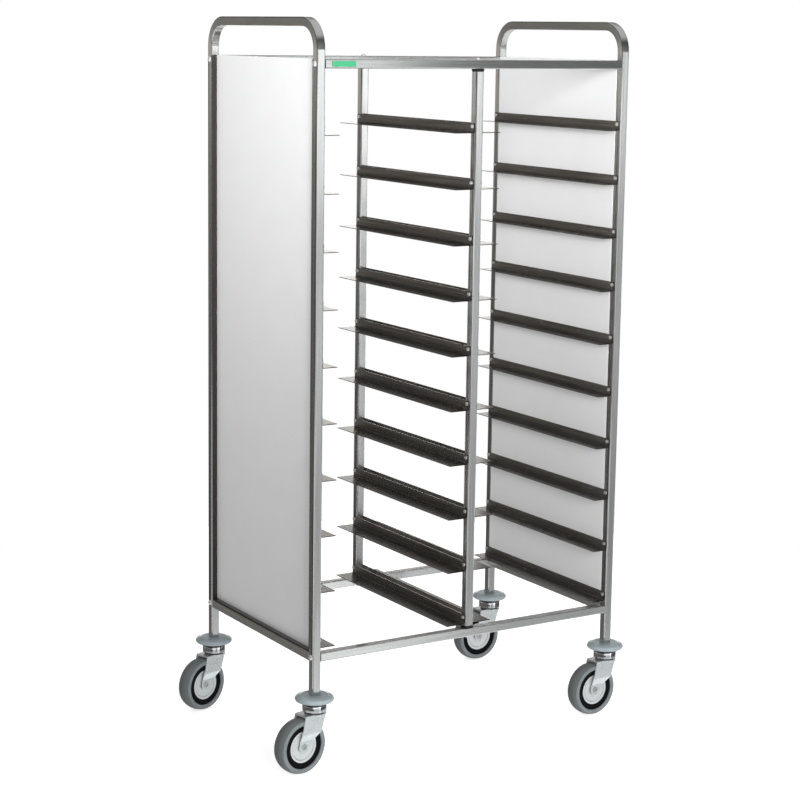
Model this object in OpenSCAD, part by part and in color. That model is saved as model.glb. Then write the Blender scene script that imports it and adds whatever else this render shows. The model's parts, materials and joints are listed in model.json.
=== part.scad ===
// Tray return trolley: two bays of tray guides in a square tube frame on four swivel casters.
// Millimetres, +Z up, +X to the right and +Y to the back, seen from the front.

/* [Frame] */
// Height from the floor to the top of the push handles
overall_h = 1650; // [1400:1:1800]
// Width over the two end hoops
frame_w = 824; // [760:1:900]
// Depth over the posts
frame_d = 518; // [420:1:620]
// Side of the square tube
tube = 20; // [20:0.5:25]
// Wall of the square tube
tube_wall = 1.5; // [1:0.1:1.8]
// Outer corner radius of the square tube
tube_round = 2.5; // [2:0.1:3]
// Bend radius at the handle corners, to the tube's centre line
bend_r = 58; // [45:1:75]
// Height of the underside of the bottom rails
bottom_rail_h = 247; // [230:1:258]
// Height of the handles' top over the underside of the top rails
handle_rise = 107.5; // [95:0.5:160]
// Length of the plugs in the tube ends
plug_len = 17; // [15:1:18]
// Thickness of the black pads at the ends of the divider posts
pad_t = 5; // [2:0.5:5.5]
// How far the pads stand out past the divider posts
pad_over = 1; // [0.5:0.5:2]

/* [Side panels] */
// Thickness of the side panels
panel_t = 7; // [4:0.5:12]
// Gap between a side panel and the rail below it
panel_gap = 3; // [1:0.5:6]

/* [Tray guides] */
// Number of tray levels in each bay
level_count = 10; // [4:1:10]
// Gap between the bottom rails and the lowest guides
first_level_gap = 10; // [10:1:60]
// Height from the flanges of the top guides to the top rails
top_level_gap = 141; // [60:1:160]
// Height of a guide's upright leg
guide_leg = 22; // [20:1:30]
// Width of the flange that carries the tray, on the guides of the divider
guide_flange = 49; // [35:1:60]
// Width of the same flange on the guides of the outer posts
outer_flange = 38; // [30:1:60]
// How far each guide stops short of the frame's front and back faces
guide_short = 4; // [2:1:5]
// Thickness of the guide sheet
guide_t = 1.5; // [1:0.1:2]
// Bend radius inside the guide
guide_bend = 1.5; // [1:0.1:3]
// Height of the guide screws above the flange's underside
guide_screw_h = 15; // [13:0.5:16]

/* [Fasteners] */
// Shank diameter of the frame screws
frame_screw_d = 8; // [6:0.5:10]
// Head diameter of the frame screws
frame_head_d = 13; // [12:0.5:16]
// Head height of the frame screws
frame_head_h = 4.5; // [3:0.5:6]
// Length of thread that a frame screw has in its plug
frame_grip = 14; // [10:1:15]
// Shank diameter of the guide screws
guide_screw_d = 4; // [3:0.5:4]
// Head diameter of the guide screws
guide_head_d = 8; // [6:0.5:9]
// Head height of the guide screws
guide_head_h = 2.4; // [1.5:0.1:3]
// How far a guide screw reaches into the tube
guide_screw_reach = 4; // [2:0.5:6]

/* [Blank plate] */
// Length of the blank plate on the front top rail
plate_l = 58; // [30:1:90]
// Height of the blank plate
plate_h = 12; // [8:0.5:14]
// Thickness of the blank plate
plate_t = 0.8; // [0.5:0.1:1.5]
// Distance from the left end of the rail to the blank plate
plate_from_post = 16; // [5:1:100]

/* [Casters] */
// Wheel diameter
wheel_d = 125; // [115:1:125]
// Width of the tyre
tyre_w = 32; // [26:0.5:32]
// Radial thickness of the tyre
tyre_t = 13; // [8:0.5:14]
// Radius of the tyre's rounded tread
tread_r = 40; // [36:1:60]
// Width of the black rim band
rim_w = 26; // [20:0.5:28]
// Diameter of the zinc hub discs
hub_disc_d = 72; // [56:1:80]
// Thickness of the hub discs
hub_disc_t = 1.5; // [1:0.1:2]
// How far the middle of a hub disc lies in from the side of the rim band
hub_dish = 1.5; // [1:0.5:5]
// Thickness of the rim's web
web_t = 8; // [6:0.5:10]
// Width of the hub discs' flat outer lip
hub_lip = 5; // [4:0.5:8]
// Diameter of the wheel's hub
hub_d = 24; // [20:0.5:28]
// How far the hub stands out past each side of the rim band
hub_over = 0.5; // [0.3:0.1:1.5]
// Axle diameter
axle_d = 10; // [8:0.5:12]
// Diameter of the axle's riveted heads
axle_head_d = 14; // [12:0.5:20]
// Height of the axle's riveted heads
axle_head_h = 1.2; // [1:0.1:3]
// Diameter of the hollow in each axle head
axle_hollow_d = 6; // [4:0.5:7]
// Distance from the swivel axis to the axle
trail = 41; // [36:1:46]
// Height of the top of the fork
fork_h = 132; // [131:1:134]
// Thickness of the fork's top plate
crown_t = 4; // [3:0.5:5]
// How far the fork's top plate reaches from the swivel axis towards the axle
crown_reach = 39; // [34:1:42]
// Thickness of the fork's legs
fork_leg_t = 2.5; // [2:0.5:4]
// Gap between the tyre and each fork leg
tyre_gap = 0.8; // [0.6:0.1:2]
// How far the fork's legs reach ahead of the swivel axis, at the top
leg_front = 18; // [14:1:20]
// How far the fork's legs reach ahead of the swivel axis, at the upper bend
leg_brow = 5; // [2:1:8]
// Height of the upper bend in a leg's front edge
leg_brow_h = 90; // [86:1:92]
// How far the lower bend in a leg's front edge lies behind the swivel axis
leg_waist = 13; // [8:1:16]
// Height of the lower bend in a leg's front edge
leg_waist_h = 76; // [72:1:80]
// Width of a fork leg around the axle's head
leg_rim = 6; // [4:0.5:8]
// Diameter of the round top plate and of the swivel head above it
head_d = 54; // [50:1:58]
// Height of the swivel head's skirt above the fork
skirt_gap = 4; // [3:0.5:6]
// Wall of the swivel head's skirt
skirt_wall = 3; // [2:0.5:4]
// Height of the swivel head over its skirt
head_h = 15; // [13:0.5:18]
// Thickness of the swivel head's top
head_wall = 4; // [3:0.5:5]
// Diameter of the king pin in the swivel head
king_d = 12; // [10:0.5:14]
// Diameter of the king pin's collar under the fork
collar_d = 20; // [18:0.5:22]
// Height of the king pin's collar
collar_h = 5; // [4:0.5:6]
// Outer diameter of the swivel bearing
bearing_d = 44; // [38:1:46]
// Radial width of the swivel bearing
bearing_w = 8; // [6:0.5:10]
// Diameter of the grease hole in the swivel head
grease_d = 4; // [3:0.5:5]
// Direction that the grease holes face
grease_heading = 235; // [0:1:359]
// Diameter of the black seal disc
seal_d = 52; // [46:1:54]
// Thickness of the black seal disc
seal_t = 5; // [3:0.5:8]
// Diameter of the bumper disc
bumper_d = 87; // [80:1:95]
// Thickness of the bumper disc
bumper_h = 15; // [14:0.5:20]
// Radius of the bumper's rounded edge
bumper_edge = 6; // [4:0.5:7]
// Width of the flat ring on the top and bottom of the bumper, out from the middle
bumper_flat_r = 31; // [24:1:36]
// Diameter of the bolt that holds the swivel head
stem_d = 10; // [8:0.5:12]
// Height of the square stem inside the post
stem_h = 40; // [30:1:60]
// Directions that the front left, front right, back left and back right wheels trail in
trail_headings = [190, 184, 197, 181];

/* [Clearances] */
// Radial clearance of a shaft that turns in its bore
run_fit = 0.05; // [0.02:0.01:0.1]
// Clearance between a plug and the tube around it, on each side
plug_fit = 0.1; // [0.05:0.05:0.3]
// Radial clearance of a screw in its thread
thread_fit = 0.02; // [0.01:0.01:0.05]
// Radial clearance of the hub discs in the rim
press_fit = 0.02; // [0.01:0.01:0.05]
// Radial clearance of a screw in a plain hole
hole_fit = 0.25; // [0.1:0.05:0.5]
// Clearance between the wheel's hub and the fork, on each side
side_fit = 0.4; // [0.3:0.1:1]
// Clearance between the bumper and the post, on each side
bumper_fit = 0.1; // [0.05:0.05:0.5]

/* [Hidden] */
$fn = 48;
corners = ["fl", "fr", "bl", "br"];
caster_parts = ["bumper", "swivel_head", "fork", "axle", "rim", "hub_discs", "tyre"];
levels = [1 : level_count];
function level_name(level) = str("tray_guides_", level < 10 ? "0" : "", level);

steel = [0.62, 0.62, 0.60];
panel_grey = [0.86, 0.87, 0.88];
bumper_grey = [0.60, 0.65, 0.68];
tyre_grey = [0.45, 0.48, 0.49];
zinc = [0.84, 0.86, 0.86];
chrome = [0.90, 0.90, 0.91];
black = [0.06, 0.06, 0.06];
plate_green = [0.10, 0.42, 0.20];

// Centre lines and faces of the frame
post_x = frame_w / 2 - tube / 2;
post_y = frame_d / 2 - tube / 2;
inner_x = frame_w / 2 - tube;
inner_y = frame_d / 2 - tube;
bend_h = overall_h - tube / 2 - bend_r;
bend_y = post_y - bend_r;
rail_len = 2 * inner_x;
bottom_rail_top = bottom_rail_h + tube;
top_rail_h = overall_h - handle_rise;
top_rail_top = top_rail_h + tube;
divider_foot = bottom_rail_top + pad_t;
divider_h = top_rail_h - pad_t - divider_foot;
panel_foot = bottom_rail_top + panel_gap;
bore_side = tube - 2 * tube_wall;
bore_round = tube_round - tube_wall;
plug_side = bore_side - 2 * plug_fit;

// How far a cut runs past the faces that it opens, and the length of a drill through a tube
over = 1;
drill_len = tube + 2 * over;

// Heights and widths in a caster, from the floor up
wheel_r = wheel_d / 2;
rim_r = wheel_r - tyre_t;
head_foot = fork_h + skirt_gap;
head_top = head_foot + head_h;
post_foot = head_top + seal_t;
bumper_top = post_foot + bumper_h;
bumper_mid = post_foot + bumper_h / 2;
bumper_rim_r = bumper_d / 2 - bumper_edge;
crown_foot = fork_h - crown_t;
collar_foot = crown_foot - collar_h;
hub_half = rim_w / 2 + hub_over;
leg_in = tyre_w / 2 + tyre_gap;
leg_out = leg_in + fork_leg_t;
toe_in = hub_half + side_fit;
toe_out = toe_in + fork_leg_t;
leg_end_r = axle_head_d / 2 + leg_rim;
leg_toe = leg_end_r * cos(45);

// The wheels trail to the left, so the frame stands to the right of the object's middle
function wheel_reach(heading) = tread_r + (trail + wheel_r - tread_r) * abs(cos(heading));
left_reach = post_x + max(wheel_reach(trail_headings[0]), wheel_reach(trail_headings[2]));
right_reach = post_x + bumper_d / 2;
frame_x = (left_reach - right_reach) / 2;

module round_square(side, radius) {
    flat = side - 2 * radius;
    square([side, flat], center = true);
    square([flat, side], center = true);
    for (x = [-1, 1]) for (y = [-1, 1]) translate([x, y] * flat / 2) circle(radius);
}

module tube_section() {
    difference() {
        round_square(tube, tube_round);
        round_square(bore_side, bore_round);
    }
}

// Section of a piece that slides into a tube's bore
module plug_section() {
    round_square(plug_side, bore_round);
}

module upright_tube(length) {
    linear_extrude(length) tube_section();
}

// A tube along X, centred on the origin
module cross_tube(length) {
    rotate([0, 90, 0]) linear_extrude(length, center = true) tube_section();
}

// A tube along Y, centred on the origin
module depth_tube(length) {
    rotate([90, 0, 0]) linear_extrude(length, center = true) tube_section();
}

// A drill along X through the origin
module cross_drill(radius, length) {
    rotate([0, 90, 0]) cylinder(r = radius, h = length, center = true);
}

module frame_drill_up(length) {
    cylinder(d = frame_screw_d + 2 * hole_fit, h = length, center = true);
}

// Heights of the rails' centres, of the guides, whose levels share the room evenly, and of their screws
rail_mids = [bottom_rail_h + tube / 2, top_rail_h + tube / 2];
first_level_h = bottom_rail_top + first_level_gap;
level_pitch = (top_rail_h - top_level_gap - first_level_h) / (level_count - 1);
function guide_h(level) = first_level_h + (level_count - level) * level_pitch;
guide_screw_hs = [for (level = levels) guide_h(level) + guide_screw_h];

// One handle corner, bent from the front post to the handle
module hoop_bend() {
    translate([0, -bend_y, bend_h]) rotate([0, 0, -90]) rotate([90, 0, 0])
        rotate_extrude(angle = 90) translate([bend_r, 0]) tube_section();
}

// An end hoop at x = 0, with its inner side facing +X
module hoop() {
    color(steel) difference() {
        union() {
            for (side = [-1, 1]) translate([0, side * post_y, post_foot]) upright_tube(bend_h - post_foot);
            for (side = [0, 1]) mirror([0, side, 0]) hoop_bend();
            translate([0, 0, overall_h - tube / 2]) depth_tube(2 * bend_y);
        }
        for (side = [-1, 1]) translate([0, side * post_y, 0]) {
            for (z = rail_mids) translate([0, 0, z]) cross_drill(frame_screw_d / 2 + hole_fit, drill_len);
            for (z = guide_screw_hs) translate([tube / 2, 0, z])
                cross_drill(guide_screw_d / 2 + thread_fit, tube);
        }
    }
}

module left_hoop() {
    translate([-post_x, 0, 0]) hoop();
}

module right_hoop() {
    translate([post_x, 0, 0]) mirror([1, 0, 0]) hoop();
}

module side_rail(side) {
    color(steel) translate([side * post_x, 0, rail_mids[0]]) depth_tube(2 * inner_y);
}

module cross_rail(side, z) {
    color(steel) translate([0, side * post_y, z]) difference() {
        cross_tube(rail_len);
        frame_drill_up(drill_len);
    }
}

module divider_post(side) {
    color(steel) translate([0, side * post_y, divider_foot]) difference() {
        upright_tube(divider_h);
        for (z = guide_screw_hs) translate([0, 0, z - divider_foot])
            cross_drill(guide_screw_d / 2 + thread_fit, drill_len);
    }
}

module divider_pads() {
    pad_side = tube + 2 * pad_over;
    color(black) for (side = [-1, 1]) for (z = [bottom_rail_top, top_rail_h - pad_t])
        translate([0, side * post_y, z]) difference() {
            linear_extrude(pad_t) round_square(pad_side, tube_round + pad_over);
            frame_drill_up(drill_len);
        }
}

// A threaded plug along Z, with its outer end at the origin and its body below
module end_plug() {
    translate([0, 0, -plug_len]) difference() {
        linear_extrude(plug_len) plug_section();
        translate([0, 0, -over]) cylinder(d = frame_screw_d + 2 * thread_fit, h = plug_len + 2 * over);
    }
}

// Places its child at each frame screw, outer end of the tube it screws into at the origin,
// with Z pointing out towards the screw's head
module at_frame_screws() {
    for (side = [-1, 1]) translate([0, side * post_y, 0]) {
        for (z = rail_mids) for (end = [-1, 1])
            translate([end * inner_x, 0, z]) rotate([0, end * 90, 0]) children(0);
        translate([0, 0, divider_foot]) rotate([180, 0, 0]) children(1);
        translate([0, 0, divider_foot + divider_h]) children(1);
    }
}

module end_plugs() {
    color(black) at_frame_screws() {
        end_plug();
        end_plug();
    }
}

// A domed screw that passes a stack of the given thickness
module frame_screw(stack) {
    dome_r = (pow(frame_head_d / 2, 2) + pow(frame_head_h, 2)) / (2 * frame_head_h);
    translate([0, 0, -frame_grip]) cylinder(d = frame_screw_d, h = frame_grip + stack);
    translate([0, 0, stack]) intersection() {
        translate([0, 0, frame_head_h - dome_r]) sphere(dome_r);
        cylinder(d = frame_head_d, h = frame_head_h);
    }
}

module frame_screws() {
    color(chrome) at_frame_screws() {
        frame_screw(tube);
        frame_screw(tube + pad_t);
    }
}

module side_panel(side) {
    panel_x = side < 0 ? -inner_x - panel_t : inner_x;
    color(panel_grey) translate([panel_x, -inner_y, panel_foot])
        cube([panel_t, 2 * inner_y, top_rail_top - panel_foot]);
}

// A guide's section, with the leg's back at x = 0 and the flange along +X
module guide_section(flange) {
    outer_r = guide_bend + guide_t;
    translate([0, outer_r]) square([guide_t, guide_leg - outer_r]);
    translate([outer_r, 0]) square([flange - outer_r, guide_t]);
    translate([outer_r, outer_r]) intersection() {
        difference() {
            circle(outer_r);
            circle(guide_bend);
        }
        translate([-outer_r, -outer_r]) square(outer_r);
    }
}

module tray_guide(flange) {
    guide_l = frame_d - 2 * guide_short;
    difference() {
        translate([0, guide_l / 2, 0]) rotate([90, 0, 0]) linear_extrude(guide_l) guide_section(flange);
        for (side = [-1, 1]) translate([0, side * post_y, guide_screw_h])
            cross_drill(guide_screw_d / 2 + hole_fit, 4 * guide_t);
    }
}

// Places its children on the four faces that carry guides, with +X pointing into the bay.
// The first child goes on the outer posts and the last one on the divider.
module at_guide_faces() {
    for (side = [0, 1]) mirror([side, 0, 0]) {
        translate([-inner_x, 0, 0]) children(0);
        translate([tube / 2, 0, 0]) children($children - 1);
    }
}

module tray_guides(level) {
    color(steel) translate([0, 0, guide_h(level)]) at_guide_faces() {
        tray_guide(outer_flange);
        tray_guide(guide_flange);
    }
}

module guide_screw() {
    shank = guide_t + tube_wall + guide_screw_reach;
    rotate([0, 90, 0]) {
        translate([0, 0, guide_t - shank]) cylinder(d = guide_screw_d, h = shank);
        translate([0, 0, guide_t]) cylinder(d = guide_head_d, h = guide_head_h);
    }
}

module guide_screws() {
    color(chrome) at_guide_faces() for (z = guide_screw_hs) for (side = [-1, 1])
        translate([0, side * post_y, z]) guide_screw();
}

module blank_plate() {
    color(plate_green) translate([-inner_x + plate_from_post, -frame_d / 2 - plate_t, rail_mids[1] - plate_h / 2])
        cube([plate_l, plate_t, plate_h]);
}

// Centre of the post above each caster
function post_place(corner) = [
    (corner == "fl" || corner == "bl" ? -1 : 1) * post_x,
    (corner == "fl" || corner == "fr" ? -1 : 1) * post_y,
    0
];

module at_posts() {
    for (corner = corners) translate(post_place(corner)) children();
}

// Caster frame: swivel axis on Z, wheel trailing along +X, axle along Y
module at_caster(corner) {
    heading = trail_headings[search([corner], corners)[0]];
    translate(post_place(corner)) rotate([0, 0, heading]) children();
}

module at_axle() {
    translate([trail, 0, wheel_r]) rotate([90, 0, 0]) children();
}

module caster_stems() {
    color(zinc) at_posts() {
        translate([0, 0, post_foot]) linear_extrude(stem_h) plug_section();
        translate([0, 0, head_top - head_wall + run_fit]) cylinder(d = stem_d, h = seal_t + head_wall);
    }
}

module caster_seals() {
    color(black) at_posts() translate([0, 0, head_top]) difference() {
        cylinder(d = seal_d, h = seal_t);
        translate([0, 0, -over]) cylinder(d = stem_d + 2 * hole_fit, h = seal_t + 2 * over);
    }
}

module swivel_bearings() {
    ring_h = head_top - head_wall - fork_h - 2 * run_fit;
    color(black) at_posts() translate([0, 0, fork_h + run_fit]) difference() {
        cylinder(d = bearing_d, h = ring_h);
        translate([0, 0, -over]) cylinder(d = bearing_d - 2 * bearing_w, h = ring_h + 2 * over);
    }
}

module bumper() {
    color(bumper_grey) difference() {
        rotate_extrude() union() {
            translate([bumper_rim_r, bumper_mid]) circle(bumper_edge);
            polygon([
                [0, post_foot], [bumper_flat_r, post_foot],
                [bumper_rim_r, bumper_mid - bumper_edge], [bumper_rim_r, bumper_mid + bumper_edge],
                [bumper_flat_r, bumper_top], [0, bumper_top]
            ]);
        }
        translate([0, 0, post_foot - over]) linear_extrude(bumper_h + 2 * over)
            round_square(tube + 2 * bumper_fit, tube_round + bumper_fit);
    }
}

// Fixed half of the swivel: a cup over the bearing, and the king pin that holds the fork
module swivel_head() {
    cup_r = head_d / 2;
    color(chrome) difference() {
        translate([0, 0, head_foot]) cylinder(r = cup_r, h = head_h);
        translate([0, 0, head_foot - over]) difference() {
            cylinder(r = cup_r - skirt_wall, h = head_h - head_wall + over);
            cylinder(d = king_d, h = head_h);
        }
        translate([0, 0, head_top - head_wall]) cylinder(d = stem_d + 2 * thread_fit, h = head_wall + over);
        rotate([0, 0, grease_heading]) translate([cup_r, 0, head_foot + head_h / 2])
            cross_drill(grease_d / 2, 2 * (skirt_wall + over));
    }
    color(chrome) {
        translate([0, 0, crown_foot - run_fit]) cylinder(d = king_d, h = head_foot - crown_foot + run_fit);
        translate([0, 0, collar_foot - run_fit]) cylinder(d = collar_d, h = collar_h);
    }
}

// Side view of a fork leg, with X along the trail and Y up
module fork_leg_outline() {
    polygon([
        [-leg_front, fork_h], [crown_reach, fork_h],
        [trail + leg_end_r, wheel_r], [trail - leg_toe, wheel_r - leg_toe],
        [leg_waist, leg_waist_h], [-leg_brow, leg_brow_h]
    ]);
    translate([trail, wheel_r]) circle(leg_end_r);
}

// Back view of a fork leg, with X across the wheel and Y up. The leg steps in below the tyre.
module fork_leg_section() {
    polygon([
        [toe_in, 0], [toe_out, 0], [toe_out, leg_waist_h], [leg_out, leg_brow_h],
        [leg_out, fork_h], [leg_in, fork_h], [leg_in, leg_brow_h], [toe_in, leg_waist_h]
    ]);
}

module fork_leg() {
    intersection() {
        translate([0, leg_out + over, 0]) rotate([90, 0, 0]) linear_extrude(leg_out) fork_leg_outline();
        translate([-head_d, 0, 0]) rotate([90, 0, 90]) linear_extrude(4 * head_d) fork_leg_section();
    }
}

module fork() {
    color(zinc) difference() {
        union() {
            translate([0, 0, crown_foot]) cylinder(d = head_d, h = crown_t);
            translate([0, -leg_out, crown_foot]) cube([crown_reach, 2 * leg_out, crown_t]);
            for (side = [0, 1]) mirror([0, side, 0]) fork_leg();
        }
        translate([0, 0, crown_foot - over]) cylinder(d = king_d + 2 * run_fit, h = crown_t + 2 * over);
        at_axle() cylinder(d = axle_d + 2 * run_fit, h = 2 * (toe_out + over), center = true);
    }
}

module axle() {
    color(chrome) at_axle() difference() {
        union() {
            cylinder(d = axle_d, h = 2 * toe_out, center = true);
            for (side = [0, 1]) mirror([0, 0, side]) translate([0, 0, toe_out])
                cylinder(d = axle_head_d, h = axle_head_h);
        }
        for (side = [0, 1]) mirror([0, 0, side]) translate([0, 0, toe_out])
            cylinder(d = axle_hollow_d, h = axle_head_h + over);
    }
}

// Black wheel centre: hub, web and the band that the tyre sits on
module rim() {
    bore_r = axle_d / 2 + run_fit;
    color(black) at_axle() rotate_extrude() {
        translate([bore_r, -hub_half]) square([hub_d / 2 - bore_r, 2 * hub_half]);
        translate([hub_d / 2, -web_t / 2]) square([rim_r - hub_d / 2, web_t]);
        translate([hub_disc_d / 2, -rim_w / 2]) square([rim_r - hub_disc_d / 2, rim_w]);
    }
}

// Section of a hub disc: outer lip, slope and flat middle, from its inner face out
module hub_disc_section() {
    edge_r = hub_disc_d / 2 - press_fit;
    lip_r = edge_r - hub_lip;
    flat_r = lip_r - hub_dish;
    bore_r = hub_d / 2 + press_fit;
    face = rim_w / 2;
    dished = face - hub_dish;
    polygon([
        [bore_r, dished - hub_disc_t], [flat_r, dished - hub_disc_t],
        [lip_r, face - hub_disc_t], [edge_r, face - hub_disc_t],
        [edge_r, face], [lip_r, face], [flat_r, dished], [bore_r, dished]
    ]);
}

module hub_discs() {
    color(zinc) at_axle() for (side = [0, 1]) mirror([0, 0, side]) rotate_extrude() hub_disc_section();
}

module tyre() {
    color(tyre_grey) at_axle() rotate_extrude() intersection() {
        translate([rim_r, -tyre_w / 2]) square([tyre_t, tyre_w]);
        translate([wheel_r - tread_r, 0]) circle(tread_r, $fn = 96);
    }
}

translate([frame_x, 0, 0]) {
    left_hoop();
    right_hoop();
    side_rail(-1);  // left_side_rail
    side_rail(1);  // right_side_rail
    cross_rail(-1, rail_mids[1]);  // front_top_rail
    cross_rail(1, rail_mids[1]);  // back_top_rail
    cross_rail(-1, rail_mids[0]);  // front_bottom_rail
    cross_rail(1, rail_mids[0]);  // back_bottom_rail
    divider_post(-1);  // divider_front_post
    divider_post(1);  // divider_back_post
    divider_pads();
    end_plugs();
    frame_screws();
    side_panel(-1);  // left_side_panel
    side_panel(1);  // right_side_panel
    guide_screws();
    blank_plate();
    for (level = levels) tray_guides(level);
    caster_stems();
    caster_seals();
    swivel_bearings();
    for (corner = corners) {
        translate(post_place(corner)) bumper();
        translate(post_place(corner)) swivel_head();
        at_caster(corner) fork();
        at_caster(corner) axle();
        at_caster(corner) rim();
        at_caster(corner) hub_discs();
        at_caster(corner) tyre();
    }
}
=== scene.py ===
import json
import math
import bmesh
import bpy
from mathutils import Matrix, Vector


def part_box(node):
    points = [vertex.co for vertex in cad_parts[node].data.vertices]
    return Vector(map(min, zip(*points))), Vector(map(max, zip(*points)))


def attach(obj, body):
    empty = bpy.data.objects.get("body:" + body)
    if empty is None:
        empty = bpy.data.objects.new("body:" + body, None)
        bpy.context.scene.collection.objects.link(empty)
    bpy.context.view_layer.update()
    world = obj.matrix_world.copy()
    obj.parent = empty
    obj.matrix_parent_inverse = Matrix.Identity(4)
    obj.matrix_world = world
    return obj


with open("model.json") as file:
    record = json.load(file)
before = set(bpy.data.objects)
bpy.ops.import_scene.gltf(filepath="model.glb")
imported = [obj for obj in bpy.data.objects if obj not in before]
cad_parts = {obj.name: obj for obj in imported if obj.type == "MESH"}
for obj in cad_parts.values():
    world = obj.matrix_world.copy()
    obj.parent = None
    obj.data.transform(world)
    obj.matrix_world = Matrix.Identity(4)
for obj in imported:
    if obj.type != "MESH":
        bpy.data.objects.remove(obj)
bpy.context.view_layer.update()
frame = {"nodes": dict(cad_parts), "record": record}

# Lengths are in metres and angles in degrees, unless a name says otherwise

NODES = frame["nodes"]
JOINTS = {joint["name"]: joint for joint in frame["record"]["behaviour"]["joints"]}
CORNERS = ("fl", "fr", "bl", "br")
SIDES = ("left", "right")
X, Y, Z = range(3)
MID_X = (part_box("left_hoop")[0][X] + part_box("right_hoop")[1][X]) / 2


# Node tree helper

# The Mix node's colour sockets, as their names are also those of its plain value sockets
MIX_FIRST = 6
MIX_SECOND = 7
MIX_RESULT = 2

EDGE_SAMPLES = 4


class Net:
    """Short calls for building one node tree."""

    def __init__(self, tree, keep=False):
        self.tree = tree
        if not keep:
            tree.nodes.clear()

    def put(self, kind, **props):
        node = self.tree.nodes.new(kind)
        for name, value in props.items():
            setattr(node, name, value)
        return node

    def wire(self, source, socket):
        """Links an output to the socket, or sets a plain value on it."""
        if isinstance(source, (int, float, tuple)):
            socket.default_value = source
        else:
            self.tree.links.new(source, socket)

    def math(self, operation, *terms):
        node = self.put("ShaderNodeMath", operation=operation)
        for term, socket in zip(terms, node.inputs):
            self.wire(term, socket)
        return node.outputs[0]

    def sway(self, pattern, amount, middle):
        """Turns a 0 to 1 pattern into a value that sways by half the amount to either side of the middle."""
        return self.math("MULTIPLY_ADD", self.math("SUBTRACT", pattern, 0.5), amount, middle)

    def vec(self, operation, *terms, scale=None):
        node = self.put("ShaderNodeVectorMath", operation=operation)
        for term, socket in zip(terms, node.inputs):
            self.wire(term, socket)
        if scale is not None:
            self.wire(scale, node.inputs["Scale"])
        return node.outputs["Value" if operation in ("DOT_PRODUCT", "LENGTH") else "Vector"]

    def split(self, vector):
        node = self.put("ShaderNodeSeparateXYZ")
        self.wire(vector, node.inputs[0])
        return tuple(node.outputs)

    def join(self, *parts):
        """A vector from up to three parts. A part left out is 0."""
        node = self.put("ShaderNodeCombineXYZ")
        for part, socket in zip(parts, node.inputs):
            self.wire(part, socket)
        return node.outputs[0]

    def noise(self, place, scale, detail, rough, twist=0.0):
        node = self.put("ShaderNodeTexNoise")
        self.wire(place, node.inputs["Vector"])
        node.inputs["Scale"].default_value = scale
        node.inputs["Detail"].default_value = detail
        node.inputs["Roughness"].default_value = rough
        node.inputs["Distortion"].default_value = twist
        return node.outputs["Fac"]

    def stretched_noise(self, coords, scales, detail, rough):
        """Noise with its own scale along each coordinate."""
        parts = [self.math("MULTIPLY", coord, scale) for coord, scale in zip(coords, scales)]
        return self.noise(self.join(*parts), 1.0, detail, rough)

    def remap(self, value, source, target=(0.0, 1.0), smooth=False):
        """Maps the source range to the target range, and holds the target's ends outside it."""
        node = self.put("ShaderNodeMapRange", interpolation_type="SMOOTHSTEP" if smooth else "LINEAR")
        self.wire(value, node.inputs["Value"])
        for name, limits in (("From", source), ("To", target)):
            node.inputs[name + " Min"].default_value = limits[0]
            node.inputs[name + " Max"].default_value = limits[1]
        return node.outputs["Result"]

    def ramp(self, factor, places, colours):
        node = self.put("ShaderNodeValToRGB")
        self.wire(factor, node.inputs["Fac"])
        elements = node.color_ramp.elements
        while len(elements) < len(places):
            elements.new(0.5)
        for element, place, colour in zip(elements, places, colours):
            element.position = place
            element.color = (*colour, 1)
        return node.outputs["Color"]

    def paint(self, colour, socket):
        """Sets or links a colour, where a plain one has three parts."""
        self.wire((*colour, 1) if isinstance(colour, tuple) else colour, socket)

    def mix(self, factor, first, second):
        node = self.put("ShaderNodeMix", data_type="RGBA")
        self.wire(factor, node.inputs["Factor"])
        self.paint(first, node.inputs[MIX_FIRST])
        self.paint(second, node.inputs[MIX_SECOND])
        return node.outputs[MIX_RESULT]

    def mix_shader(self, factor, first, second):
        node = self.put("ShaderNodeMixShader")
        for source, socket in zip((factor, first, second), node.inputs):
            self.wire(source, socket)
        return node.outputs[0]

    def bump(self, height, distance, strength, normal=None):
        node = self.put("ShaderNodeBump")
        node.inputs["Strength"].default_value = strength
        node.inputs["Distance"].default_value = distance
        self.wire(height, node.inputs["Height"])
        if normal is not None:
            self.wire(normal, node.inputs["Normal"])
        return node.outputs["Normal"]

    def place(self):
        return self.put("ShaderNodeTexCoord").outputs["Object"]

    def normal(self):
        return self.put("ShaderNodeNewGeometry").outputs["Normal"]

    def soft_edge(self, radius):
        """The normal with its edges rounded for shading, or the plain normal at radius 0."""
        if not radius:
            return self.normal()
        node = self.put("ShaderNodeBevel", samples=EDGE_SAMPLES)
        node.inputs["Radius"].default_value = radius
        return node.outputs["Normal"]


def surface(name, **numbers):
    """A new material with one Principled shader, and plain numbers set on the shader's own sockets."""
    material = bpy.data.materials.new(name)
    material.use_nodes = True
    net = Net(material.node_tree)
    out = net.put("ShaderNodeOutputMaterial")
    shader = net.put("ShaderNodeBsdfPrincipled")
    net.wire(shader.outputs[0], out.inputs["Surface"])
    for key, number in numbers.items():
        shader.inputs[key.replace("_", " ")].default_value = number
    return material, net, shader


def tint(colour, factor):
    return tuple(min(1.0, factor * part) for part in colour)


def dress(material, *names):
    for name in names:
        for slot in NODES[name].material_slots:
            slot.material = material


# Brushed steel

TUBE_STEEL = (0.70, 0.70, 0.685)
GUIDE_STEEL = (0.37, 0.355, 0.335)
GUIDE_FOLD_R = 0.0013

# Outer radius of a hoop's bends, and where they begin, out from the middle and up from the floor
BEND_R = 0.068
BEND_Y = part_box("left_hoop")[1][Y] - BEND_R
BEND_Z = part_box("left_hoop")[1][Z] - BEND_R

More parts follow.
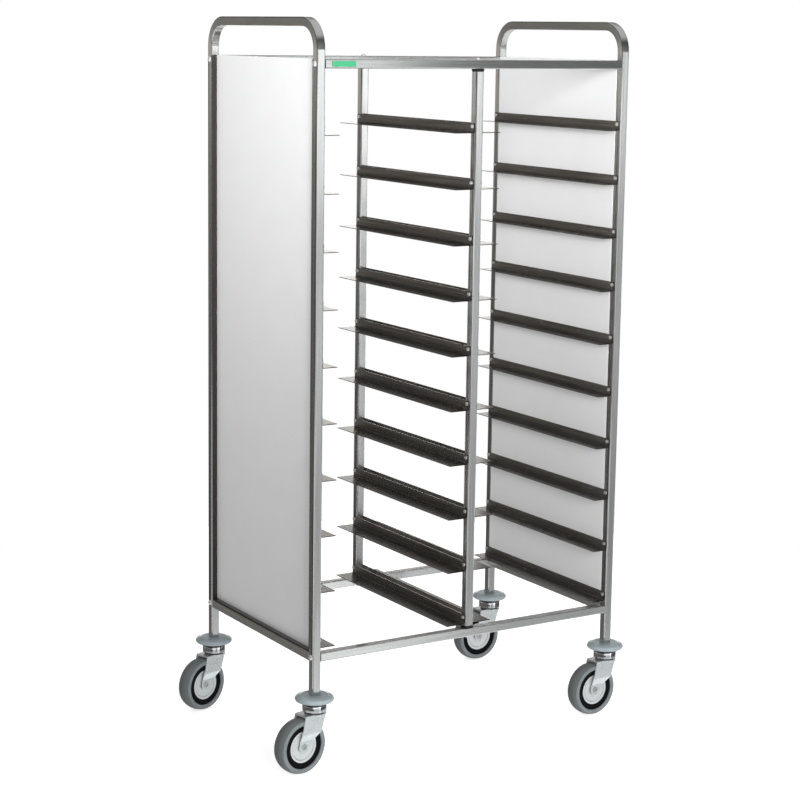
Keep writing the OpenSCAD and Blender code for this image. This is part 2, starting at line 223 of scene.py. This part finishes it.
# Brush lines and broader bands: scales across, across and along the run, the lines' share of the tone,
# the pattern values between which the tone changes, and the light streaks' part of the dark ones
LINE_SCALES = (1400.0, 1400.0, 14.0)
BAND_SCALES = (210.0, 210.0, 5.0)
LINE_SHARE = 0.3
TONE_RANGE = (0.36, 0.64)
LIGHT_PART = 0.6

# Duller patches, and what lines and patches do to the roughness and the height
PATCH_SCALE = 9.0
PATCH_RANGE = (0.35, 0.7)
PATCH_MOST = 0.5
PATCH_TINT = 0.93
PATCH_ROUGHNESS = 0.05
LINE_ROUGHNESS = 0.06
LINE_DEPTH = 0.00002
LINE_STRENGTH = 0.18


def straight_run(axis):
    """For a straight piece: its direction, and coordinates across, across and along it."""
    def run(net):
        coords = net.split(net.place())
        direction = tuple(float(i == axis) for i in range(3))
        return direction, (*coords[:axis], *coords[axis + 1:], coords[axis])
    return run


def hoop_run(net):
    """The same for a hoop: up a post, round the bend and along the handle."""
    x, y, z = net.split(net.place())
    past_y = net.math("MAXIMUM", net.math("SUBTRACT", net.math("ABSOLUTE", y), BEND_Y), 0.0)
    past_z = net.math("MAXIMUM", net.math("SUBTRACT", z, BEND_Z), 0.0)
    side_y = net.math("MULTIPLY", past_y, net.math("SIGN", y))
    radial = net.vec("NORMALIZE", net.join(0.0, side_y, past_z))
    direction = net.vec("CROSS_PRODUCT", (1.0, 0.0, 0.0), radial)
    across = net.vec("LENGTH", net.join(0.0, past_y, past_z))
    along = net.math("SUBTRACT", z, net.math("ABSOLUTE", y))
    return direction, (x, across, along)


def steel(name, run, base, rough=0.215, aniso=1.0, edge=0.0, streak=0.10):
    """Steel brushed along its run, with light and dark streaks and a few duller patches."""
    material, net, shader = surface(name, Metallic=1.0, Anisotropic=aniso)
    direction, coords = run(net)
    lines = net.stretched_noise(coords, LINE_SCALES, detail=3.0, rough=0.6)
    bands = net.stretched_noise(coords, BAND_SCALES, detail=2.0, rough=0.5)
    patch = net.noise(net.place(), PATCH_SCALE, detail=4.0, rough=0.6, twist=0.3)
    both = net.math("MULTIPLY_ADD", lines, LINE_SHARE, net.math("MULTIPLY", bands, 1.0 - LINE_SHARE))
    dark = tint(base, 1.0 - streak)
    light = tint(base, 1.0 + LIGHT_PART * streak)
    tone = net.mix(net.remap(both, TONE_RANGE), dark, light)
    tone = net.mix(net.remap(patch, PATCH_RANGE, (0.0, PATCH_MOST)), tone, tint(base, PATCH_TINT))
    net.wire(tone, shader.inputs["Base Color"])
    lined_rough = net.sway(lines, LINE_ROUGHNESS, rough)
    net.wire(net.sway(patch, PATCH_ROUGHNESS, lined_rough), shader.inputs["Roughness"])
    net.wire(net.bump(lines, LINE_DEPTH, LINE_STRENGTH, net.soft_edge(edge)), shader.inputs["Normal"])
    net.wire(net.vec("CROSS_PRODUCT", net.normal(), direction), shader.inputs["Tangent"])
    return material


HOOPS = tuple(side + "_hoop" for side in SIDES)
SIDE_RAILS = tuple(side + "_side_rail" for side in SIDES)
CROSS_RAILS = ("front_top_rail", "back_top_rail", "front_bottom_rail", "back_bottom_rail")
DIVIDER_POSTS = ("divider_front_post", "divider_back_post")
GUIDES = tuple(f"tray_guides_{level:02d}" for level in range(1, 11))

hoop_steel = steel("tube_steel_hoop", hoop_run, TUBE_STEEL)
side_rail_steel = steel("tube_steel_side_rail", straight_run(Y), TUBE_STEEL)
rail_steel = steel("tube_steel_rail", straight_run(X), TUBE_STEEL)
upright_steel = steel("tube_steel_upright", straight_run(Z), TUBE_STEEL)
guide_steel = steel("guide_steel_sheet", straight_run(Y), GUIDE_STEEL, rough=0.26, aniso=0.8,
                    edge=GUIDE_FOLD_R, streak=0.38)
dress(hoop_steel, *HOOPS)
dress(side_rail_steel, *SIDE_RAILS)
dress(rail_steel, *CROSS_RAILS)
dress(upright_steel, *DIVIDER_POSTS)
dress(guide_steel, *GUIDES)


# Rounded corners of the square tube

CORNER_R = 0.0018
CORNER_STEPS = 4
CORNER_ANGLE = 70
WELD_GAP = 0.00001


def round_corners(*names):
    """Gives square tube its drawn corner radius with modifiers, on top of the unchanged CAD mesh."""
    for name in names:
        weld = NODES[name].modifiers.new("join_faces", "WELD")
        weld.merge_threshold = WELD_GAP
        bevel = NODES[name].modifiers.new("tube_corner", "BEVEL")
        bevel.width = CORNER_R
        bevel.segments = CORNER_STEPS
        bevel.limit_method = "ANGLE"
        bevel.angle_limit = math.radians(CORNER_ANGLE)
        bevel.miter_outer = "MITER_ARC"
        bevel.harden_normals = True


round_corners(*HOOPS, *SIDE_RAILS, *CROSS_RAILS, *DIVIDER_POSTS)


# Plated metal

CLOUD_RANGE = (0.3, 0.7)
SMALL_EDGE = 0.0003
PLATE_GRAIN = 900.0
PLATE_TINT = 0.90
PLATE_DEPTH = 0.00002
PLATE_STRENGTH = 0.25


def plated(name, base, rough, spot=60.0, wear=0.06, metallic=1.0):
    """Plated metal, clouded at the spot scale, with wear as the spread of its roughness."""
    material, net, shader = surface(name, Metallic=metallic)
    place = net.place()
    cloud = net.noise(place, spot, detail=4.0, rough=0.6, twist=0.2)
    fine = net.noise(place, PLATE_GRAIN, detail=2.0, rough=0.5)
    tone = net.mix(net.remap(cloud, CLOUD_RANGE), tint(base, PLATE_TINT), base)
    net.wire(tone, shader.inputs["Base Color"])
    net.wire(net.sway(fine, wear, net.sway(cloud, 2 * wear, rough)), shader.inputs["Roughness"])
    normal = net.bump(fine, PLATE_DEPTH, PLATE_STRENGTH, net.soft_edge(SMALL_EDGE))
    net.wire(normal, shader.inputs["Normal"])
    return material


screw_steel = plated("screw_steel_head", base=(0.82, 0.81, 0.79), rough=0.20, metallic=0.7)
stem_zinc = plated("stem_zinc", base=(0.66, 0.67, 0.67), rough=0.30)
bearing_steel = plated("bearing_steel_greased", base=(0.16, 0.16, 0.155), rough=0.35)
dress(screw_steel, "frame_screws", "guide_screws")
dress(stem_zinc, "caster_stems")
dress(bearing_steel, "swivel_bearings")


# Plastic, rubber and board

MOULD_CLOUD = 14.0
MOULD_STRENGTH = 0.35
GRAIN_ROUGHNESS = 0.14
CLOUD_ROUGHNESS = 0.12


def moulded(name, base, rough, grain=380.0, depth=0.00008, spread=0.12, edge=0.0004, specular=0.5):
    """A matt surface: spread is how far its colour varies, and grain and depth are its fine texture."""
    material, net, shader = surface(name, Specular_IOR_Level=specular)
    place = net.place()
    cloud = net.noise(place, MOULD_CLOUD, detail=5.0, rough=0.6, twist=0.2)
    fine = net.noise(place, grain, detail=3.0, rough=0.6)
    tone = net.mix(net.remap(cloud, CLOUD_RANGE), tint(base, 1 - spread), tint(base, 1 + spread))
    net.wire(tone, shader.inputs["Base Color"])
    grained_rough = net.sway(fine, GRAIN_ROUGHNESS, rough)
    net.wire(net.sway(cloud, CLOUD_ROUGHNESS, grained_rough), shader.inputs["Roughness"])
    net.wire(net.bump(fine, depth, MOULD_STRENGTH, net.soft_edge(edge)), shader.inputs["Normal"])
    return material


black_plastic = moulded("black_plastic_moulded", base=(0.010, 0.010, 0.011), rough=0.42, specular=0.25)
seal_rubber = moulded("seal_rubber_black", base=(0.008, 0.008, 0.008), rough=0.55, specular=0.2)
panel_board = moulded("panel_board_laminate", base=(0.81, 0.813, 0.815), rough=0.36, grain=700.0,
                      depth=0.00002, spread=0.012, edge=0.0008)
plate_plastic = moulded("plate_plastic_green", base=(0.03, 0.21, 0.10), rough=0.34, grain=900.0,
                        depth=0.00002, spread=0.08, edge=0.0003)
bumper_rubber = moulded("bumper_rubber_grey", base=(0.33, 0.385, 0.405), rough=0.24, grain=520.0,
                        depth=0.00004, spread=0.14)
dress(black_plastic, "divider_pads", "end_plugs")
dress(seal_rubber, "caster_seals")
dress(panel_board, "left_side_panel", "right_side_panel")
dress(plate_plastic, "blank_plate")
dress(bumper_rubber, *[corner + "_bumper" for corner in CORNERS])


# Tyres

TREAD_GREY = (0.125, 0.142, 0.148)
WALL_GREY = (0.200, 0.224, 0.232)
CLOUD_GREY = (0.135, 0.143, 0.148)
DUST_GREY = (0.12, 0.118, 0.112)

# The wheels stand on the floor, so an axle's height is a wheel's radius
WHEEL_R = JOINTS["fl_wheel_spin"]["pos_m"][Z]

# Distances from the axle over which tread turns into wall, and over which dust starts on the tread
TREAD_TO_WALL = (WHEEL_R - 0.0030, WHEEL_R - 0.0060)
DUST_START = (WHEEL_R - 0.0013, WHEEL_R - 0.0001)

# Patterns: their scales, the pattern values between which clouds and dust come in, and the most they cover
TYRE_CLOUD = 38.0
TYRE_GRAIN = 650.0
TYRE_RINGS = 5200.0
TYRE_CLOUD_RANGE = (0.42, 0.72)
TYRE_CLOUD_MOST = 0.55
DUST_RANGE = (0.35, 0.55)
DUST_MOST = 0.6

# Roughness between the clouds and what they add, and the height of the grain with the rings' part in it
TYRE_ROUGH = 0.50
TYRE_CLOUD_ROUGH = 0.16
TYRE_DEPTH = 0.00006
TYRE_STRENGTH = 0.4
RING_PART = 0.12


def wheel_coords(net, corner):
    """Distance from the axle line, and place along it, for one wheel."""
    joint = JOINTS[corner + "_wheel_spin"]
    axis = tuple(joint["axis"])
    offset = net.vec("SUBTRACT", net.place(), tuple(joint["pos_m"]))
    along = net.vec("DOT_PRODUCT", offset, axis)
    flat = net.vec("SUBTRACT", offset, net.vec("SCALE", axis, scale=along))
    return net.vec("LENGTH", flat), along


def tyre(corner):
    """Grey rubber with a paler wall, clouds, dust on the tread and fine moulded rings."""
    material, net, shader = surface("tyre_rubber_" + corner)
    radius = wheel_coords(net, corner)[0]
    place = net.place()
    cloud = net.noise(place, TYRE_CLOUD, detail=5.0, rough=0.62, twist=0.3)
    fine = net.noise(place, TYRE_GRAIN, detail=3.0, rough=0.6)
    tone = net.mix(net.remap(radius, TREAD_TO_WALL, smooth=True), TREAD_GREY, WALL_GREY)
    tone = net.mix(net.remap(cloud, TYRE_CLOUD_RANGE, (0.0, TYRE_CLOUD_MOST)), tone, CLOUD_GREY)
    patchy = net.remap(cloud, DUST_RANGE, (0.0, DUST_MOST))
    dust = net.math("MULTIPLY", net.remap(radius, DUST_START), patchy)
    net.wire(net.mix(dust, tone, DUST_GREY), shader.inputs["Base Color"])
    net.wire(net.math("MULTIPLY_ADD", cloud, TYRE_CLOUD_ROUGH, TYRE_ROUGH), shader.inputs["Roughness"])
    rings = net.math("SINE", net.math("MULTIPLY", radius, TYRE_RINGS))
    height = net.math("MULTIPLY_ADD", rings, RING_PART, fine)
    net.wire(net.bump(height, TYRE_DEPTH, TYRE_STRENGTH), shader.inputs["Normal"])
    return material


# Rims and hub discs

# Turned rings: scales out from the axle and along it, and their tint, roughness and height
RING_SCALES = (1500.0, 300.0)
RING_TINT = 0.88
RING_ROUGHNESS = 0.10
RING_DEPTH = 0.00003
RING_STRENGTH = 0.35

# Dirt: its scale, the pattern values between which it comes in, and its tint and roughness
DIRT_SCALE = 70.0
DIRT_RANGE = (0.5, 0.75)
DIRT_TINT = 0.55
DIRT_ROUGHNESS = 0.14

# The ring of painted shade in the groove of a hub disc, just inside its lip: its radius, half its width, the
# most and the least that it covers as the dirt pattern changes, and its tint
HUB_DISC_R = (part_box("fl_hub_discs")[1][Z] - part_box("fl_hub_discs")[0][Z]) / 2
GROOVE_SHADE_R = HUB_DISC_R - 0.0068
GROOVE_SHADE_HALF = 0.0016
GROOVE_SHADE_MOST = 0.55
GROOVE_SHADE_RANGE = (0.3, 0.6)
GROOVE_SHADE_PATCHY = (0.6, 1.0)
GROOVE_SHADE_TINT = 0.42


def turned(name, corner, base, rough, metallic, dirt, specular=0.5, groove_shade=False):
    """A disc with fine rings round the axle, spotted with dirt and, if asked, with a ring of painted shade in
    the groove inside its lip.
    """
    material, net, shader = surface(name + "_" + corner, Metallic=metallic, Specular_IOR_Level=specular)
    radius, along = wheel_coords(net, corner)
    rings = net.stretched_noise((radius, along), RING_SCALES, detail=3.0, rough=0.6)
    cloud = net.noise(net.place(), DIRT_SCALE, detail=4.0, rough=0.6, twist=0.3)
    tone = net.mix(rings, tint(base, RING_TINT), base)
    tone = net.mix(net.remap(cloud, DIRT_RANGE, (0.0, dirt)), tone, tint(base, DIRT_TINT))
    # Painted shade: a darker ring where the groove just inside the lip lies in shadow, made patchy by the
    # dirt pattern
    if groove_shade:
        off = net.math("ABSOLUTE", net.math("SUBTRACT", radius, GROOVE_SHADE_R))
        near = net.remap(off, (0.0, GROOVE_SHADE_HALF), (GROOVE_SHADE_MOST, 0.0), smooth=True)
        groove_shade_mask = net.math("MULTIPLY", near, net.remap(cloud, GROOVE_SHADE_RANGE, GROOVE_SHADE_PATCHY))
        tone = net.mix(groove_shade_mask, tone, tint(base, GROOVE_SHADE_TINT))
    net.wire(tone, shader.inputs["Base Color"])
    ringed_rough = net.sway(rings, RING_ROUGHNESS, rough)
    net.wire(net.sway(cloud, DIRT_ROUGHNESS, ringed_rough), shader.inputs["Roughness"])
    normal = net.bump(rings, RING_DEPTH, RING_STRENGTH, net.soft_edge(SMALL_EDGE))
    net.wire(normal, shader.inputs["Normal"])
    return material


# Swivel heads

# The head's ring: how far its top and foot are rounded off, and its rolled groove, placed between
# the foot at -1 and the top at 1
HEAD_CROWN = 0.0011
GROOVE_AT = -0.42
GROOVE_HALF = 0.22
GROOVE_DEPTH = 0.0004


def head_chrome():
    """Chrome whose shading rounds the ring's top and foot and shows the shallow groove rolled into it."""
    material = plated("swivel_chrome_plate", base=(0.80, 0.80, 0.81), rough=0.12, spot=120.0, wear=0.05)
    net = Net(material.node_tree, keep=True)
    low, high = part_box("fl_swivel_head")
    level = net.remap(net.split(net.place())[Z], (low[Z], high[Z]), (-1.0, 1.0))
    crown = net.math("MULTIPLY", net.math("POWER", net.math("ABSOLUTE", level), 3.0), -HEAD_CROWN)
    off = net.math("ABSOLUTE", net.math("SUBTRACT", level, GROOVE_AT))
    groove = net.remap(off, (0.0, GROOVE_HALF), (-GROOVE_DEPTH, 0.0), smooth=True)
    shader = next(node for node in material.node_tree.nodes if node.type == "BSDF_PRINCIPLED")
    fine_normal = shader.inputs["Normal"].links[0].from_socket
    net.wire(net.bump(net.math("ADD", crown, groove), 1.0, 1.0, fine_normal), shader.inputs["Normal"])
    return material


# Casters

def rim_plastic(corner):
    return turned("rim_black_plastic", corner, base=(0.005, 0.005, 0.006), rough=0.45, metallic=0.0,
                  dirt=0.1, specular=0.06)


def hub_zinc(corner):
    return turned("hub_zinc_disc", corner, base=(0.83, 0.865, 0.865), rough=0.30, metallic=0.65,
                  dirt=0.12, groove_shade=True)


chrome = head_chrome()
fork_zinc = plated("fork_zinc_plate", base=(0.80, 0.835, 0.835), rough=0.27, spot=55.0, metallic=0.75)
axle_zinc = plated("axle_zinc_plate", base=(0.70, 0.71, 0.715), rough=0.25, spot=90.0)
for corner in CORNERS:
    dress(tyre(corner), corner + "_tyre")
    dress(rim_plastic(corner), corner + "_rim")
    dress(hub_zinc(corner), corner + "_hub_discs")
    dress(chrome, corner + "_swivel_head")
    dress(fork_zinc, corner + "_fork")
    dress(axle_zinc, corner + "_axle")


# Dark edge strip round each side panel: painted shade, a near-black sheet standing in for the shade in the
# recess outside the panel

STRIP_T = 0.0022
STRIP_SET_BACK = 0.0006
STRIP_LAP = 0.0006
STRIP_ROUND = 0.0006


def strip_outline(side):
    """The strip's U shape as points across the depth and up: its outer line, then its inner line back."""
    low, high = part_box(side + "_side_panel")
    rail_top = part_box(side + "_side_rail")[1][Z]
    front, back, top = low[Y], high[Y], high[Z]
    inner_front, inner_back, inner_foot = front + STRIP_T, back - STRIP_T, low[Z] + STRIP_LAP
    outer = [(front, top), (front, rail_top), (back, rail_top), (back, top)]
    inner = [(inner_back, top), (inner_back, inner_foot), (inner_front, inner_foot), (inner_front, top)]
    return outer + inner


def strip_span(side):
    """Across the width: from the panel's outer face to just inside the hoop's outer face."""
    panel_low, panel_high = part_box(side + "_side_panel")
    hoop_low, hoop_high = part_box(side + "_hoop")
    if side == "left":
        return panel_low[X], hoop_low[X] + STRIP_SET_BACK
    return panel_high[X], hoop_high[X] - STRIP_SET_BACK


def shade_strip(side, material):
    """Lines the recess outside a panel with a near-black sheet of painted shade: up the back post, along the
    side rail and up the front post.
    """
    outline = strip_outline(side)
    bm = bmesh.new()
    ends = [[bm.verts.new((x, y, z)) for y, z in outline] for x in strip_span(side)]
    for end in ends:
        bm.faces.new(end)
    for i in range(len(outline)):
        j = (i + 1) % len(outline)
        bm.faces.new((ends[0][i], ends[0][j], ends[1][j], ends[1][i]))
    bmesh.ops.recalc_face_normals(bm, faces=bm.faces)
    bmesh.ops.bevel(bm, geom=bm.edges[:], offset=STRIP_ROUND, segments=2, affect="EDGES", profile=0.5)
    mesh = bpy.data.meshes.new(side + "_panel_shade_strip")
    bm.to_mesh(mesh)
    bm.free()
    ob = bpy.data.objects.new(side + "_panel_shade_strip", mesh)
    bpy.context.scene.collection.objects.link(ob)
    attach(ob, "frame")
    mesh.materials.append(material)


# Near-black surface for the strip: painted shade for the recess between the panel, the posts and the side
# rail
painted_recess_shade = moulded("painted_recess_shade_dark", base=(0.020, 0.016, 0.014), rough=0.20, grain=600.0,
                        depth=0.00003, edge=0.0)
for side in SIDES:
    shade_strip(side, painted_recess_shade)


# Floor: a pale disc that looks white to the camera and that mirrors see through

FLOOR_R = 1.9
FLOOR_SIDES = 96
FLOOR_GLOW = 0.62
FLOOR_GREYS = ((0.84, 0.84, 0.84), (0.88, 0.88, 0.88))


def floor_material():
    material = bpy.data.materials.new("floor_pale")
    material.use_nodes = True
    net = Net(material.node_tree)
    out = net.put("ShaderNodeOutputMaterial")
    ray = net.put("ShaderNodeLightPath")
    plain = net.put("ShaderNodeBsdfDiffuse")
    grit = net.noise(net.place(), 30.0, detail=4.0, rough=0.6)
    net.wire(net.mix(grit, *FLOOR_GREYS), plain.inputs["Color"])
    glow = net.put("ShaderNodeEmission")
    glow.inputs["Strength"].default_value = FLOOR_GLOW
    glowing = net.put("ShaderNodeAddShader")
    net.wire(plain.outputs[0], glowing.inputs[0])
    net.wire(glow.outputs[0], glowing.inputs[1])
    clear = net.put("ShaderNodeBsdfTransparent")
    seen = net.mix_shader(ray.outputs["Is Camera Ray"], plain.outputs[0], glowing.outputs[0])
    shiny = net.math("MAXIMUM", ray.outputs["Is Glossy Ray"], ray.outputs["Is Transmission Ray"])
    net.wire(net.mix_shader(shiny, seen, clear.outputs[0]), out.inputs["Surface"])
    return material


def build_floor():
    mesh = bpy.data.meshes.new("floor")
    turns = [2 * math.pi * i / FLOOR_SIDES for i in range(FLOOR_SIDES)]
    rim = [(MID_X + FLOOR_R * math.cos(turn), FLOOR_R * math.sin(turn), 0.0) for turn in turns]
    mesh.from_pydata(rim, [], [tuple(range(FLOOR_SIDES))])
    mesh.materials.append(floor_material())
    ob = bpy.data.objects.new("floor", mesh)
    bpy.context.scene.collection.objects.link(ob)


build_floor()


# World: white to the camera, soft light on the part, and a studio room that only mirrors see

COOL = (0.97, 1.0, 1.02)
WARM = (1.05, 1.0, 0.93)
CREAM = (1.0, 0.98, 0.95)
WHITE = (1.0, 1.0, 1.0)
CEILING_GREY = (0.62, 0.62, 0.62)
PALE_GROUND = (0.95, 0.97, 0.98)
SOFT_LIGHT = 0.43

# The room's brightness by height, for four parts of the horizon
BAND_LIMITS = (-30.0, 30.0)
FRONT_BAND = ((-30, 0.30), (-22, 0.45), (-19.5, 0.80), (-17.6, 0.64), (-16, 0.53), (-13, 0.50), (-10.5, 0.70),
              (-8, 0.90), (-5.8, 0.58), (-4.2, 1.10), (-2.4, 1.50), (-1, 1.60), (0.6, 1.60), (1.8, 0.34),
              (14, 0.24), (30, 0.10))
REST_BAND = ((-30, 0.95), (-19.5, 0.85), (-17.6, 0.40), (-16, 0.08), (-12, 0.08), (-6, 0.12), (-4, 0.16),
             (-1, 0.24), (0.6, 0.20), (1.8, 0.06), (30, 0.06))
BACK_LEFT_BAND = ((-30, 0.22), (-20, 0.24), (-18, 0.13), (-14, 0.12), (-6, 0.18), (-3.5, 0.27), (-1, 0.54),
                  (0.5, 0.44), (2, 0.07), (30, 0.05))
BACKDROP_BAND = ((-30, 0.90), (-18, 0.50), (-6, 0.90), (-1, 3.00), (6, 3.00), (9.8, 1.80), (11.5, 0.40),
                 (20, 0.22), (30, 0.12))

# Azimuths where each part of the horizon fades in, and where it fades out
FRONT_SECTOR = ((-140.0, -122.0), (-59.4, -56.4))
HOT_SECTOR = ((-70.0, -66.0), (-59.8, -57.4))
BACKDROP_SECTOR = ((20.0, 40.0), (76.0, 92.0))
BACK_LEFT_SECTOR = ((84.0, 100.0), (150.0, 165.0))
HOT_GAIN = 0.95

# Elevations where the ceiling and the ground fade in
CEILING_FADE = (28.0, 48.0)
GROUND_FADE = (-40.0, -55.0)


def mirrored_room(net):
    """Colour of the room in each direction."""
    x, y, z = net.split(net.put("ShaderNodeTexCoord").outputs["Generated"])
    azimuth = net.math("MULTIPLY", net.math("ARCTAN2", y, x), 180 / math.pi)
    elevation = net.math("MULTIPLY", net.math("ARCSINE", z), 180 / math.pi)
    height = net.remap(elevation, BAND_LIMITS)
    low, high = BAND_LIMITS

    def band(cast, stops):
        places = [(degrees - low) / (high - low) for degrees, level in stops]
        colours = [tuple(level * part for part in cast) for degrees, level in stops]
        return net.ramp(height, places, colours)

    def sector(fade_in, fade_out):
        rise = net.remap(azimuth, fade_in, smooth=True)
        fall = net.remap(azimuth, fade_out, (1.0, 0.0), smooth=True)
        return net.math("MULTIPLY", rise, fall)

    room = net.mix(sector(*BACK_LEFT_SECTOR), band(COOL, REST_BAND), band(WARM, BACK_LEFT_BAND))
    room = net.mix(sector(*BACKDROP_SECTOR), room, band(CREAM, BACKDROP_BAND))
    gain = net.math("MULTIPLY_ADD", sector(*HOT_SECTOR), HOT_GAIN, 1.0)
    room = net.mix(sector(*FRONT_SECTOR), room, net.vec("SCALE", band(COOL, FRONT_BAND), scale=gain))
    room = net.mix(net.remap(elevation, CEILING_FADE, smooth=True), room, CEILING_GREY)
    return net.mix(net.remap(elevation, GROUND_FADE, smooth=True), room, PALE_GROUND)


def background(net, colour, strength=1.0):
    node = net.put("ShaderNodeBackground")
    net.paint(colour, node.inputs["Color"])
    node.inputs["Strength"].default_value = strength
    return node.outputs[0]


def build_world():
    world = bpy.data.worlds.new("studio")
    bpy.context.scene.world = world
    world.use_nodes = True
    net = Net(world.node_tree)
    out = net.put("ShaderNodeOutputWorld")
    ray = net.put("ShaderNodeLightPath")
    soft = background(net, WHITE, SOFT_LIGHT)
    room = background(net, mirrored_room(net))
    lit = net.mix_shader(ray.outputs["Is Glossy Ray"], soft, room)
    direct = net.math("MAXIMUM", ray.outputs["Is Camera Ray"], ray.outputs["Is Transmission Ray"])
    net.wire(net.mix_shader(direct, lit, background(net, WHITE)), out.inputs["Surface"])


build_world()


# Lamps

AIM_Z = 0.9
WIDE = 180.0

# Name, place, point it is aimed at, size, watts, spread
LAMPS = (
    ("lamp_left", (-1.6, -2.7, 1.95), (-0.25, 0.0, 1.80), (0.9, 0.9), 13.0, 47.0),
    ("lamp_front", (-0.55, -2.9, 1.1), (MID_X + 0.3, 0.0, AIM_Z), (1.4, 1.8), 79.0, WIDE),
    ("lamp_right", (3.2, 0.7, 1.3), (MID_X, 0.0, AIM_Z), (2.0, 2.0), 26.0, WIDE),
    ("lamp_back", (1.9, 3.0, 1.3), (MID_X, 0.0, AIM_Z), (1.6, 2.0), 26.0, WIDE),
)


def build_lamp(name, place, aim, size, watts, spread):
    data = bpy.data.lights.new(name, "AREA")
    data.shape = "RECTANGLE"
    data.size, data.size_y = size
    data.energy = watts
    data.spread = math.radians(spread)
    ob = bpy.data.objects.new(name, data)
    bpy.context.scene.collection.objects.link(ob)
    ob.location = place
    ob.rotation_euler = (Vector(aim) - Vector(place)).to_track_quat("-Z", "Y").to_euler()
    ob.visible_glossy = False


for row in LAMPS:
    build_lamp(*row)


# Camera, as solved from the photo

SENSOR_MM = 36.0
FOCAL_PIXELS = 2026.0
PICTURE_PIXELS = 800.0
SHIFT_Y = -0.05
CAMERA_AT = (MID_X - 2.513, -4.006, 1.624)
YAW = 31.71
PITCH = -9.24
ROLL = 0.81
FAR_CLIP = 100.0


def build_camera():
    data = bpy.data.cameras.new("camera")
    data.sensor_width = SENSOR_MM
    data.lens = FOCAL_PIXELS / PICTURE_PIXELS * SENSOR_MM
    data.shift_y = SHIFT_Y
    data.clip_end = FAR_CLIP
    ob = bpy.data.objects.new("camera", data)
    bpy.context.scene.collection.objects.link(ob)
    yaw, pitch, roll = (math.radians(angle) for angle in (YAW, PITCH, ROLL))
    ahead = Vector((math.sin(yaw) * math.cos(pitch), math.cos(yaw) * math.cos(pitch), math.sin(pitch)))
    level_right = Vector((math.cos(yaw), -math.sin(yaw), 0.0))
    level_up = level_right.cross(ahead)
    right = level_right * math.cos(roll) + level_up * math.sin(roll)
    up = level_up * math.cos(roll) - level_right * math.sin(roll)
    pose = Matrix((right, up, -ahead)).transposed().to_4x4()
    pose.translation = Vector(CAMERA_AT)
    ob.matrix_world = pose
    bpy.context.scene.camera = ob


build_camera()
bpy.context.scene.view_settings.view_transform = "Standard"
